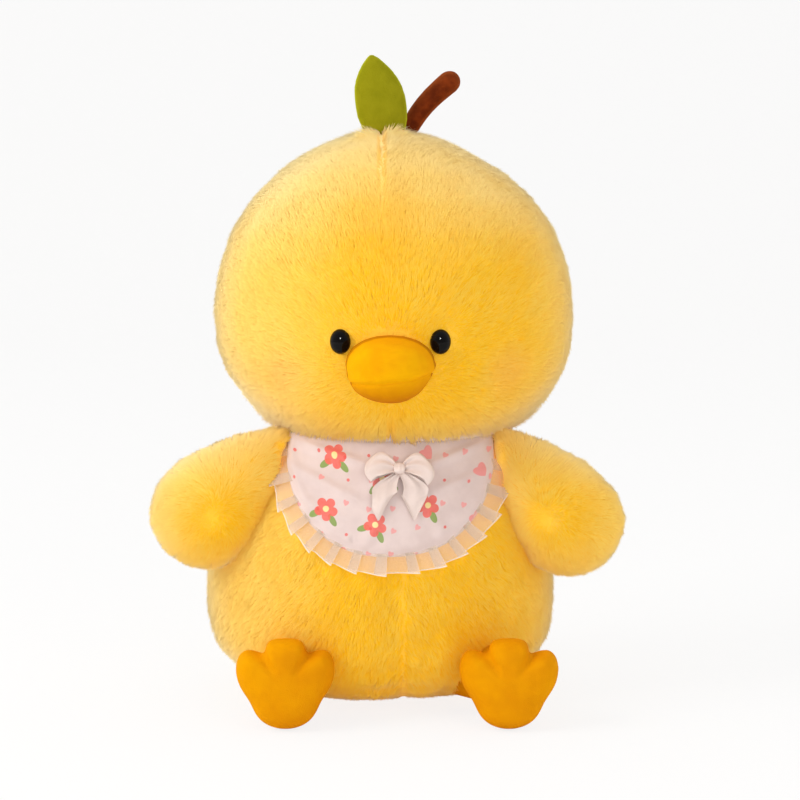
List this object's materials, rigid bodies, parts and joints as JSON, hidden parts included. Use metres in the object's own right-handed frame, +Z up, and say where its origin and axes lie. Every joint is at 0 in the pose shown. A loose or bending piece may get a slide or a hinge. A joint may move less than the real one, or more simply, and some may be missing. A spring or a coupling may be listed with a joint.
{
  "type": "plush_duck",
  "caption": "Seated yellow plush duck with a round head, stuffed wings, orange bill and feet, a white satin bib with a pleated ruffle and bow, and a leaf and stem on its crown",
  "frame": {"origin": "on the flat seat, below the middle of the face", "axes": "+Z up, the duck looks along -Y, and its own left side is at +X"},
  "size_m": [0.2558, 0.1949, 0.3518],
  "materials": {
    "yellow_fur": "matte",
    "white_fibre": "matte",
    "orange_plush": "matte",
    "black_gloss": "gloss",
    "white_plastic": "matte",
    "green_felt": "matte",
    "brown_pile": "matte",
    "white_satin": "satin",
    "white_cotton": "matte",
    "peach_organza": "satin",
    "ivory_ribbon": "satin"
  },
  "bodies": {
    "torso": {"body_cover": "yellow_fur", "body_stuffing": "white_fibre", "head_cover": "yellow_fur", "head_stuffing": "white_fibre", "foot_cover_left": "orange_plush", "foot_cover_right": "orange_plush", "foot_stuffing_left": "white_fibre", "foot_stuffing_right": "white_fibre", "bill_upper": "orange_plush", "bill_lower": "orange_plush", "eye_left": "black_gloss", "eye_right": "black_gloss", "eye_washer_left": "white_plastic", "eye_washer_right": "white_plastic", "leaf": "green_felt", "stem": "brown_pile", "neck_band": "white_satin", "bib_lining": "white_cotton", "bib_panel": "white_satin", "bib_ruffle": "peach_organza", "bow_knot": "ivory_ribbon", "bow_loop_left": "ivory_ribbon", "bow_loop_right": "ivory_ribbon", "bow_tail_left": "ivory_ribbon", "bow_tail_right": "ivory_ribbon"},
    "wing_left": {"wing_cover_left": "yellow_fur", "wing_stuffing_left": "white_fibre"},
    "wing_right": {"wing_cover_right": "yellow_fur", "wing_stuffing_right": "white_fibre"}
  },
  "joints": [
    {"name": "wing_left_raise", "type": "hinge", "parent": "torso", "child": "wing_left", "pos_m": [0.05605, -0.033, 0.15], "axis": [0, -1, 0], "range_deg": [0, 35]},
    {"name": "wing_right_raise", "type": "hinge", "parent": "torso", "child": "wing_right", "pos_m": [-0.05605, -0.033, 0.15], "axis": [0, 1, 0], "range_deg": [0, 35]}
  ]
}
